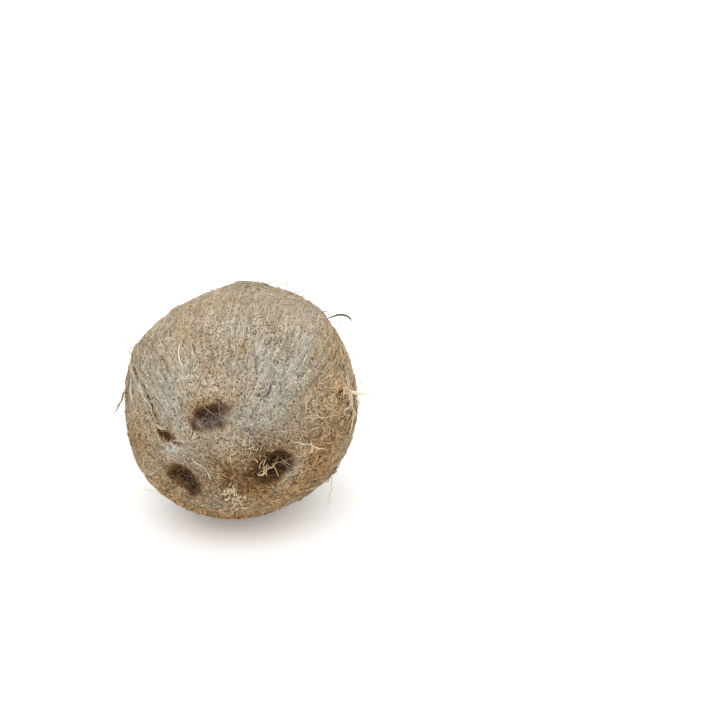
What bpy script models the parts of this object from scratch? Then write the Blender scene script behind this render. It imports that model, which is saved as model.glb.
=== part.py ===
"""A husked coconut lying on its side.

One solid: the shell with the coir that still clings to it. Its long axis runs along Y, with the three eyes
at the -Y end and the pointed tip at the +Y end. Three seams run from between the eyes to the tip, and low
strands of coir follow them. A place on the skin is given by two angles: the polar angle from the eye end
along the skin, and the turn about the long axis, counted from +X towards +Z.
"""

import math
from collections import namedtuple

import bmesh
import bpy
from mathutils import Matrix, Vector, noise

MM = 0.001

# The nut's main sizes, measured from the middle of its widest section.
GIRTH_RADIUS = 56.0 * MM
EYE_END_LENGTH = 54.5 * MM
TIP_END_LENGTH = 59.0 * MM
TIP_POINT_HEIGHT = 7.5 * MM
TIP_POINT_WIDTH = math.radians(19)
REST_FLAT_DEPTH = 1.1 * MM

# The mesh: rings crowd together over the eyes, where the shape is finest.
COLUMNS = 96
EYE_FIELD = math.radians(42)
EYE_FIELD_RINGS = 22
BODY_RINGS = 37

# The seams: width and height in millimetres. Near the eyes a seam bends aside by a few degrees of turn.
Seam = namedtuple("Seam", "turn bend width height")
SEAMS = (
    Seam(turn=151, bend=24, width=4.5, height=1.1),
    Seam(turn=50, bend=-5, width=9.5, height=1.2),
    Seam(turn=271, bend=3, width=6.5, height=0.3),
)
SEAM_START = math.radians(9)
SEAM_FULL = math.radians(34)
SEAM_STRAIGHT = math.radians(56)

# Each eye is an oval hollow with a low lip. Lengths are half widths in millimetres, and lean turns the
# longer one away from the ring that passes through the eye.
Eye = namedtuple("Eye", "polar turn half_length half_width depth lean")
EYES = (
    Eye(polar=21.2, turn=107.0, half_length=9.7, half_width=6.4, depth=2.4, lean=0),
    Eye(polar=26.6, turn=218.0, half_length=9.0, half_width=6.9, depth=3.0, lean=0),
    Eye(polar=27.0, turn=343.0, half_length=10.0, half_width=7.4, depth=3.6, lean=50),
)
EYE_WALL_POWER = 2.4
EYE_UNEVENNESS = 0.16
LIP_SHARE = 0.17
LIP_PLACE = 1.6
LIP_WIDTH = 0.55

# Broad swellings and hollows that keep the nut from being a true oval.
Swelling = namedtuple("Swelling", "polar turn spread height")
SWELLINGS = (
    Swelling(polar=114, turn=68, spread=32, height=2.2),
    Swelling(polar=114, turn=90, spread=7, height=1.5),
    Swelling(polar=110, turn=116, spread=17, height=-1.6),
    Swelling(polar=80, turn=185, spread=14, height=-1.0),
    Swelling(polar=68, turn=222, spread=26, height=1.6),
    Swelling(polar=72, turn=300, spread=28, height=-2.0),
    Swelling(polar=0, turn=0, spread=10, height=0.8),
)

# Coir strands: low ribs that run towards the tip and grow with it.
STRANDS_ROUND = 13.0
STRAND_TURNS_ALONG = 1.6
STRAND_HEIGHT_EYES = 0.5
STRAND_HEIGHT_TIP = 1.25
FUZZ_SCALE = 9.0
FUZZ_HEIGHT = 0.4

# The stub of torn coir at the tip: tapered strands that leave one root and bend apart towards their ends.
STUB_LENGTHS = (13.0 * MM, 7.5 * MM, 10.5 * MM, 5.5 * MM)
STUB_SIDES = 7
STUB_STEPS = 6
STUB_ROOT_DEPTH = 6.0 * MM
STUB_ROOT_SPREAD = 1.7 * MM
STUB_PARTING = 0.28
STUB_ROOT_RADIUS = 2.6 * MM
STUB_END_RADIUS = 0.9 * MM


def direction_of(polar, turn):
    """The unit vector from the nut's middle towards a place on its skin."""
    return Vector((
        math.sin(polar) * math.cos(turn),
        -math.cos(polar),
        math.sin(polar) * math.sin(turn),
    ))


def angles_of(direction):
    """The polar angle and the turn of a unit vector."""
    polar = math.acos(max(-1.0, min(1.0, -direction.y)))
    return polar, math.atan2(direction.z, direction.x)


def smooth_step(low, high, value):
    share = max(0.0, min(1.0, (value - low) / (high - low)))
    return share * share * (3 - 2 * share)


def bell(distance):
    return math.exp(-distance * distance)


def oval_radius(polar):
    """Two half ovals that meet at the widest section, with a short point on the far one."""
    half_length = EYE_END_LENGTH if polar < math.pi / 2 else TIP_END_LENGTH
    across = math.sin(polar) / GIRTH_RADIUS
    along = math.cos(polar) / half_length
    point = TIP_POINT_HEIGHT * math.exp(-(math.pi - polar) / TIP_POINT_WIDTH)
    return 1 / math.hypot(across, along) + point


def seam_height(polar, turn):
    """The three seams, which start between the eyes and are widest round the middle."""
    present = smooth_step(SEAM_START, SEAM_FULL, polar)
    aside = 1 - smooth_step(SEAM_START, SEAM_STRAIGHT, polar)
    round_radius = GIRTH_RADIUS / MM * max(math.sin(polar), 0.05)
    total = 0.0
    for seam in SEAMS:
        apart = math.remainder(turn - math.radians(seam.turn + seam.bend * aside), math.tau)
        total += seam.height * bell(apart * round_radius / seam.width)
    return present * total * MM


def eye_height(direction):
    """The three hollows of the eyes and their lips, in a flat frame laid on the skin at each eye."""
    total = 0.0
    for eye in EYES:
        centre = direction_of(math.radians(eye.polar), math.radians(eye.turn))
        if direction.dot(centre) < 0.5:
            continue
        along_ring = Vector((0, -1, 0)).cross(centre).normalized()
        outwards = centre.cross(along_ring)
        lean = math.radians(eye.lean)
        offset = direction - centre
        across = offset.dot(along_ring) * math.cos(lean) + offset.dot(outwards) * math.sin(lean)
        down = offset.dot(outwards) * math.cos(lean) - offset.dot(along_ring) * math.sin(lean)
        away = GIRTH_RADIUS / MM * math.hypot(across / eye.half_length, down / eye.half_width)
        away *= 1 + EYE_UNEVENNESS * noise.noise(direction * FUZZ_SCALE)
        hollow = math.exp(-away**EYE_WALL_POWER)
        lip = LIP_SHARE * bell((away - LIP_PLACE) / LIP_WIDTH)
        total += eye.depth * (lip - hollow)
    return total * MM


def swelling_height(direction):
    total = 0.0
    for swelling in SWELLINGS:
        centre = direction_of(math.radians(swelling.polar), math.radians(swelling.turn))
        apart = math.degrees(direction.angle(centre))
        total += swelling.height * bell(apart / swelling.spread)
    return total * MM


def strand_height(direction, polar, turn):
    """Ribs of coir along the nut, and a finer unevenness where the coir is matted round the eyes."""
    growth = smooth_step(math.radians(35), math.radians(150), polar)
    present = smooth_step(math.radians(12), math.radians(50), polar)
    present *= 1 - smooth_step(math.radians(160), math.radians(180), polar)
    height = STRAND_HEIGHT_EYES + (STRAND_HEIGHT_TIP - STRAND_HEIGHT_EYES) * growth
    place = Vector((
        STRANDS_ROUND * math.cos(turn),
        STRANDS_ROUND * math.sin(turn),
        STRAND_TURNS_ALONG * polar,
    ))
    matted = FUZZ_HEIGHT * noise.noise(direction * FUZZ_SCALE)
    return (height * present * noise.noise(place) + matted) * MM


def skin_radius(direction):
    """The distance from the nut's middle to its skin in this direction."""
    polar, turn = angles_of(direction)
    radius = oval_radius(polar)
    radius += seam_height(polar, turn)
    radius += eye_height(direction)
    radius += swelling_height(direction)
    radius += strand_height(direction, polar, turn)
    return radius


def ring_angles():
    """The polar angles of the rings, closely spaced over the eyes, and the two poles."""
    field = [EYE_FIELD * i / EYE_FIELD_RINGS for i in range(EYE_FIELD_RINGS + 1)]
    rest = math.pi - EYE_FIELD
    return field + [EYE_FIELD + rest * i / BODY_RINGS for i in range(1, BODY_RINGS + 1)]


def turned_ball():
    """A unit ball spun about Y from one half circle, whose ends are merged into its two poles."""
    ball = bmesh.new()
    outline = [ball.verts.new(direction_of(polar, 0)) for polar in ring_angles()]
    edges = [ball.edges.new(pair) for pair in zip(outline, outline[1:])]
    bmesh.ops.spin(
        ball, geom=outline + edges, cent=(0, 0, 0), axis=(0, -1, 0), angle=math.tau, steps=COLUMNS,
        use_merge=True,
    )
    bmesh.ops.remove_doubles(ball, verts=ball.verts, dist=1e-5)
    bmesh.ops.recalc_face_normals(ball, faces=ball.faces)
    return ball


def cut_rest_flat(nut):
    """Flattens the lowest place, where the coir is pressed by the nut's weight."""
    height = min(vertex.co.z for vertex in nut.verts) + REST_FLAT_DEPTH
    everything = list(nut.verts) + list(nut.edges) + list(nut.faces)
    cut = bmesh.ops.bisect_plane(
        nut, geom=everything, plane_co=(0, 0, height), plane_no=(0, 0, -1), clear_outer=True
    )
    rim = [element for element in cut["geom_cut"] if isinstance(element, bmesh.types.BMEdge)]
    bmesh.ops.contextual_create(nut, geom=rim)


def put_origin_under(nut):
    """Moves the nut's mesh so that the origin is at the middle of its box's underside."""
    places = [vertex.co for vertex in nut.data.vertices]
    low = Vector([min(place[axis] for place in places) for axis in range(3)])
    high = Vector([max(place[axis] for place in places) for axis in range(3)])
    middle = (low + high) / 2
    nut.data.transform(Matrix.Translation((-middle.x, -middle.y, -low.z)))


def stub_strand(number, tip):
    """One tapered strand of the stub, rooted inside the tip, as a closed tube of rings."""
    strand = bmesh.new()
    turn = math.tau * (number + 0.3) / len(STUB_LENGTHS)
    outwards = Vector((math.cos(turn), 0, math.sin(turn)))
    length = STUB_LENGTHS[number]
    root = tip + outwards * STUB_ROOT_SPREAD - Vector((0, STUB_ROOT_DEPTH, 0))
    rings = []
    for step in range(STUB_STEPS + 1):
        share = step / STUB_STEPS
        reach = share * (STUB_ROOT_DEPTH + length)
        clear = max(0.0, reach - STUB_ROOT_DEPTH)
        parting = STUB_PARTING * clear * clear / length
        centre = root + Vector((0, reach, 0)) + outwards * parting
        radius = STUB_ROOT_RADIUS + (STUB_END_RADIUS - STUB_ROOT_RADIUS) * share
        ring = []
        for side in range(STUB_SIDES):
            angle = math.tau * (side / STUB_SIDES + 0.1 * number)
            offset = Vector((radius * math.cos(angle), 0, radius * math.sin(angle)))
            ring.append(strand.verts.new(centre + offset))
        rings.append(ring)
    for near, far in zip(rings, rings[1:]):
        for side in range(STUB_SIDES):
            after = (side + 1) % STUB_SIDES
            strand.faces.new((near[side], near[after], far[after], far[side]))
    strand.faces.new(reversed(rings[0]))
    strand.faces.new(rings[-1])
    bmesh.ops.recalc_face_normals(strand, faces=strand.faces)
    mesh = bpy.data.meshes.new(f"stub_strand_{number}")
    strand.to_mesh(mesh)
    strand.free()
    return bpy.data.objects.new(mesh.name, mesh)


def join_stub(nut):
    """Grows the stub out of the nut's tip: one Boolean union, applied, after which its strands are removed."""
    tip = max((vertex.co for vertex in nut.data.vertices), key=lambda place: place.y).copy()
    stub = bpy.data.collections.new("stub")
    bpy.context.scene.collection.children.link(stub)
    for number in range(len(STUB_LENGTHS)):
        stub.objects.link(stub_strand(number, tip))
    union = nut.modifiers.new("stub", "BOOLEAN")
    union.operation = "UNION"
    union.operand_type = "COLLECTION"
    union.collection = stub
    union.solver = "EXACT"
    graph = bpy.context.evaluated_depsgraph_get()
    joined = bpy.data.meshes.new_from_object(nut.evaluated_get(graph))
    nut.modifiers.remove(union)
    nut.data = joined
    for strand in list(stub.objects):
        bpy.data.objects.remove(strand)
    bpy.data.collections.remove(stub)


def coir_material():
    material = bpy.data.materials.new("dry_coir")
    material.use_nodes = True
    shader = material.node_tree.nodes["Principled BSDF"]
    shader.inputs["Base Color"].default_value = (0.42, 0.33, 0.225, 1)
    shader.inputs["Roughness"].default_value = 0.9
    shader.inputs["Metallic"].default_value = 0.0
    return material


def make_nut():
    ball = turned_ball()
    for vertex in ball.verts:
        direction = vertex.co.normalized()
        vertex.co = direction * skin_radius(direction)
    cut_rest_flat(ball)
    mesh = bpy.data.meshes.new("nut")
    ball.to_mesh(mesh)
    ball.free()
    mesh.materials.append(coir_material())
    nut = bpy.data.objects.new("nut", mesh)
    bpy.context.scene.collection.objects.link(nut)
    join_stub(nut)
    put_origin_under(nut)
    nut.data.shade_smooth()
    nut.data.set_sharp_from_angle(angle=math.radians(60))


for leftover in list(bpy.data.objects):
    bpy.data.objects.remove(leftover)
make_nut()
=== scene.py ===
"""A husked coconut lying on its side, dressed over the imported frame.

The long axis of the nut runs along Y, with the three eyes at the -Y end and the torn tip at the +Y end. A
place on its skin is given by two angles in degrees: the polar angle from the eye end, and the turn about the
long axis, counted from +X towards +Z.
"""

import math
import random
from collections import namedtuple

import bmesh
import bpy
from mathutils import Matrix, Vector, noise
from mathutils.bvhtree import BVHTree


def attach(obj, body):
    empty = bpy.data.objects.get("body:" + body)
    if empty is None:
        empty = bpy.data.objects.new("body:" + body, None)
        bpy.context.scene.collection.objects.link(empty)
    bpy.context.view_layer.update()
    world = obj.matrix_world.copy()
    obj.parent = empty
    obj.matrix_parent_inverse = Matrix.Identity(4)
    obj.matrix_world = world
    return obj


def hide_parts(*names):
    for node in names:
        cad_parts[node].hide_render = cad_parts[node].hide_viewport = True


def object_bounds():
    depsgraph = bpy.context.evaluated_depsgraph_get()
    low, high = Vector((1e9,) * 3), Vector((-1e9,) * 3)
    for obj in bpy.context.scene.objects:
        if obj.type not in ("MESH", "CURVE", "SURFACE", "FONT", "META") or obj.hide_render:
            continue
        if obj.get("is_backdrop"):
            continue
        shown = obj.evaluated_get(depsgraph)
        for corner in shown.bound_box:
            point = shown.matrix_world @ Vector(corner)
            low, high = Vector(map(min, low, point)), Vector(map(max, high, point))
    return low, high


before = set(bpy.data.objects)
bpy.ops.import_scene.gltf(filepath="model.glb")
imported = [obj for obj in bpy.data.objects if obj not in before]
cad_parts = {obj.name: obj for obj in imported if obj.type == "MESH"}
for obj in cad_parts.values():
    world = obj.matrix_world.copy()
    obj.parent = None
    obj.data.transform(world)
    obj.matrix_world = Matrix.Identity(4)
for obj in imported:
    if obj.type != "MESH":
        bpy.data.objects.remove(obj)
cad_low, cad_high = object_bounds()


# ---------------------------------------------------------------------------------------------------------
# The nut's skin: the coir left on the shell when the husk was torn away, matted into one grey-brown felt.
# It is one closed mesh cast onto the CAD nut, with the finer relief raised in its vertices: streaks along
# the nut, lumps of felt, the seams' torn edges, the scar and the creases.

MM = 0.001  # metres
GIRTH_RADIUS = 56.0  # millimetres, as every size in the tables below
# The middle of the nut's girth, where it is widest, which all directions are counted from.
nut_middle = Vector((cad_low[0] + cad_high[0], cad_low[1] + cad_high[1], 2 * cad_low[2])) / 2
nut_middle += Vector((-0.2 * MM, -12.8 * MM, 54.9 * MM))


def direction_of(polar, turn):
    """The unit vector from the nut's middle towards a place on its skin, angles in degrees."""
    polar, turn = math.radians(polar), math.radians(turn)
    return Vector((
        math.sin(polar) * math.cos(turn),
        -math.cos(polar),
        math.sin(polar) * math.sin(turn),
    ))


def angles_of(direction):
    polar = math.degrees(math.acos(max(-1.0, min(1.0, -direction.y))))
    return polar, math.degrees(math.atan2(direction.z, direction.x))


def smooth_step(low, high, value):
    share = max(0.0, min(1.0, (value - low) / (high - low)))
    return share * share * (3 - 2 * share)


class Patch:
    """A soft oval on the skin: half lengths in mm along the nut and round it, and how strongly it shows.

    It leans over by so many degrees, and its edge is the steeper the higher that number is.
    """

    def __init__(self, polar, turn, along, around, strength, lean=0.0, edge=2.0):
        self.centre = direction_of(polar, turn)
        self.ring = Vector((0, -1, 0)).cross(self.centre).normalized()
        self.down = self.centre.cross(self.ring)
        self.lean = math.radians(lean)
        self.along, self.around, self.strength, self.edge = along, around, strength, edge
        self.reach = math.cos(min(math.pi / 2, 2.4 * max(along, around) / GIRTH_RADIUS))

    def place(self, direction):
        """Where a direction lies on the patch, in half lengths, or None when it is far outside."""
        if direction.dot(self.centre) < self.reach:
            return None
        offset = (direction - self.centre) * GIRTH_RADIUS
        ring, down = offset.dot(self.ring), offset.dot(self.down)
        around = ring * math.cos(self.lean) + down * math.sin(self.lean)
        along = down * math.cos(self.lean) - ring * math.sin(self.lean)
        return Vector((around / self.around, along / self.along))

    def share(self, direction):
        place = self.place(direction)
        return 0.0 if place is None else self.strength * math.exp(-(place.length**self.edge))


def covered(patches, direction):
    """How much of a colour shows here, where patches lie over each other without adding past 1."""
    clear = 1.0
    for patch in patches:
        clear *= 1.0 - max(-1.0, min(1.0, patch.share(direction)))
    return 1.0 - clear


EYES = (
    Patch(21.2, 107.0, along=6.4, around=9.7, strength=1.0, edge=2.6),
    Patch(26.6, 218.0, along=6.9, around=9.0, strength=1.0, edge=2.6),
    Patch(27.0, 343.0, along=7.4, around=10.0, strength=1.0, lean=50, edge=2.6),
)
SCAR = Patch(30.2, 168.0, along=5.4, around=2.3, strength=1.0, edge=3.0)
# The darkest parts of the eyes are pits with a steep wall, deeper than the hollows round them. The last pit
# is where the straw tuft was torn up.
PITS = (
    Patch(22.0, 112, along=3.4, around=6.6, strength=0.55, lean=-12, edge=3.0),
    Patch(29.6, 219, along=5.0, around=7.8, strength=1.2, edge=4.0),
    Patch(28.8, 342, along=6.6, around=5.4, strength=1.5, edge=3.4),
    Patch(69.5, 17.6, along=3.0, around=2.8, strength=1.1, edge=3.0),
)

# Creases in the felt, each from one place to another: polar, turn, polar, turn, half width, depth.
CREASES = (
    (43.5, 55.6, 40.0, 54.8, 0.5, 0.35),
    (40.0, 54.8, 37.5, 54.0, 0.55, 0.6),
    (37.5, 54.0, 35.2, 53.8, 0.5, 0.5),
    (68.0, 157.6, 62.5, 160.4, 0.8, 1.1),
    (58.0, 149.6, 46.0, 152.6, 0.8, 0.9),
    (46.0, 152.6, 36.0, 161.6, 0.8, 0.9),
    (64.0, 102.5, 45.0, 98.0, 0.6, 0.5),
    (58.0, 106.0, 40.0, 101.0, 0.5, 0.35),
    (70.0, 137.0, 47.0, 133.8, 0.6, 0.45),
    (66.0, 128.0, 50.0, 124.0, 0.6, 0.4),
    (74.0, 146.0, 56.0, 143.0, 0.5, 0.4),
    (58.0, 90.0, 47.0, 86.5, 0.6, 0.4),
    (56.0, 75.5, 43.0, 68.0, 0.7, 0.5),
    (70.0, 68.0, 52.0, 63.0, 0.5, 0.35),
    (76.0, 62.0, 60.0, 57.5, 0.6, 0.5),
    (66.0, 44.0, 47.0, 42.5, 0.5, 0.25),
    (84.0, 49.0, 62.0, 46.0, 0.5, 0.4),
    (70.0, 54.5, 48.0, 52.5, 0.5, 0.25),
    (86.0, 57.0, 72.0, 54.0, 0.6, 0.4),
)
crease_ends = [(direction_of(*row[0:2]), direction_of(*row[2:4]), *row[4:6]) for row in CREASES]


def crease_depth(direction):
    depth = 0.0
    for start, end, half_width, deep in crease_ends:
        if direction.dot(start) < 0.9 and direction.dot(end) < 0.9:
            continue  # too far away to be cut by it
        run = end - start
        share = max(0.0, min(1.0, (direction - start).dot(run) / run.length_squared))
        away = (direction - start - run * share).length * GIRTH_RADIUS / half_width
        depth += deep * math.exp(-away * away)
    return depth


SEAM_EDGE_AWAY, SEAM_EDGE_WIDTH, SEAM_EDGE_HEIGHT = 1.7, 0.8, 0.7  # millimetres
GROOVE_WIDTH, GROOVE_DEPTH = 0.9, 0.9


def off_seam(polar, turn):
    """How many millimetres a place lies from the sharp seam, which bends in between two of the eyes."""
    seam_turn = 151 + 20 * (1 - smooth_step(24, 56, polar))
    apart = math.radians(math.remainder(turn - seam_turn, 360))
    return abs(apart) * GIRTH_RADIUS * math.sin(math.radians(polar))


def seam_relief(polar, turn):
    """The height of the sharp seam's two torn edges and the depth of the groove between, in millimetres."""
    present = smooth_step(16, 26, polar) * (1 - smooth_step(86, 105, polar))
    away = off_seam(polar, turn)
    edges = math.exp(-(((away - SEAM_EDGE_AWAY) / SEAM_EDGE_WIDTH) ** 2))
    groove = math.exp(-((away / GROOVE_WIDTH) ** 2))
    return present * SEAM_EDGE_HEIGHT * edges, present * GROOVE_DEPTH * groove


def crevice_depth(direction):
    """How deep the creases, the groove, the scar and the pits cut here, in millimetres."""
    groove = seam_relief(*angles_of(direction))[1]
    depth = crease_depth(direction) + groove + SCAR.share(direction)
    return depth + sum(pit.share(direction) for pit in PITS)


# Heights in millimetres: of streaks, by how many go round the nut, of lumps, by how fine they are, and of the
# rough felt in the eyes and the scar's raised rim, which stands so many half lengths from its middle.
STREAKS, STREAK_STRENGTH = ((15, 0.26), (31, 0.2)), 1.6
LUMPS = ((14, 0.34), (27, 0.30), (52, 0.26))
EYE_FELT_FINENESS, EYE_FELT_HEIGHT = 34, 0.35
RIM_AWAY, RIM_WIDTH, RIM_HEIGHT = 1.25, 0.35, 0.5


def fine_relief(direction):
    """The height in millimetres that the skin adds to the CAD nut's form."""
    polar, turn = angles_of(direction)
    round_turn = math.radians(turn)
    clear_of_poles = smooth_step(14, 38, polar) * (1 - smooth_step(150, 172, polar))
    streaks = 0.0
    for rounds, height in STREAKS:
        place = Vector((rounds * math.cos(round_turn), rounds * math.sin(round_turn), polar / 16))
        streaks += height * noise.noise(place)
    lumps = sum(height * noise.noise(direction * fineness) for fineness, height in LUMPS)
    height = clear_of_poles * streaks * STREAK_STRENGTH + lumps
    height += seam_relief(polar, turn)[0] - crevice_depth(direction)
    scar = SCAR.place(direction)
    if scar is not None:
        height += RIM_HEIGHT * math.exp(-(((scar.length - RIM_AWAY) / RIM_WIDTH) ** 2))
    rough_felt = noise.noise(direction * EYE_FELT_FINENESS + Vector((5, 0, 0)))
    for eye in EYES:
        height += EYE_FELT_HEIGHT * eye.share(direction) * rough_felt
    return height


nut_surface = bmesh.new()
nut_surface.from_mesh(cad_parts["nut"].data)
bmesh.ops.remove_doubles(nut_surface, verts=nut_surface.verts, dist=1e-6)
nut_tree = BVHTree.FromBMesh(nut_surface)
TIP_COVER = 6.0  # degrees round the tip where the stub stands and the skin is carried over it
TIP_RISE = 0.10 * MM  # how much the skin rises there for each degree
SKIN_STEPS = 127  # cuts across each side of the cube that the ball is made from
SKIN_SMOOTHINGS = 8  # times that the CAD nut's facets are smoothed away
RESTING_HEIGHT, CLEAR_HEIGHT = 0.3 * MM, 2.5 * MM  # the relief grows from none to full between these


def reach(direction):
    """The distance from the nut's middle to the CAD skin."""
    polar, turn = angles_of(direction)
    near_tip = polar - (180 - TIP_COVER)
    if near_tip > 0:
        direction = direction_of(180 - TIP_COVER, turn)
    hit = nut_tree.ray_cast(nut_middle, direction)[0]
    return (hit - nut_middle).length + max(0.0, near_tip) * TIP_RISE


def add_object(name, shape):
    """Turns a finished shape into an object in the scene."""
    made = bpy.data.objects.new(name, bpy.data.meshes.new(name))
    bpy.context.scene.collection.objects.link(made)
    shape.to_mesh(made.data)
    shape.free()
    return made


def add_piece(name, shape):
    """Turns a finished shape into a smooth piece of the nut."""
    piece = add_object(name, shape)
    piece.data.shade_smooth()
    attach(piece, "root")
    return piece


skin_ball = bmesh.new()
bmesh.ops.create_cube(skin_ball, size=2)
bmesh.ops.subdivide_edges(skin_ball, edges=skin_ball.edges[:], cuts=SKIN_STEPS, use_grid_fill=True)
for vertex in skin_ball.verts:
    vertex.co = Vector([math.tan(step * math.pi / 4) for step in vertex.co]).normalized()
directions = [vertex.co.copy() for vertex in skin_ball.verts]
for vertex, direction in zip(skin_ball.verts, directions):
    vertex.co = nut_middle + direction * reach(direction)
for smoothing in range(SKIN_SMOOTHINGS):
    bmesh.ops.smooth_vert(
        skin_ball, verts=skin_ball.verts, factor=0.5, use_axis_x=True, use_axis_y=True, use_axis_z=True
    )
for vertex, direction in zip(skin_ball.verts, directions):
    standing_clear = smooth_step(RESTING_HEIGHT, CLEAR_HEIGHT, vertex.co.z)
    vertex.co += direction * fine_relief(direction) * standing_clear * MM
    vertex.co.z = max(vertex.co.z, 0.0)
bmesh.ops.triangulate(skin_ball, faces=skin_ball.faces)
bmesh.ops.recalc_face_normals(skin_ball, faces=skin_ball.faces)
nut_skin = add_piece("nut_skin", skin_ball)
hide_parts("nut")

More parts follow.
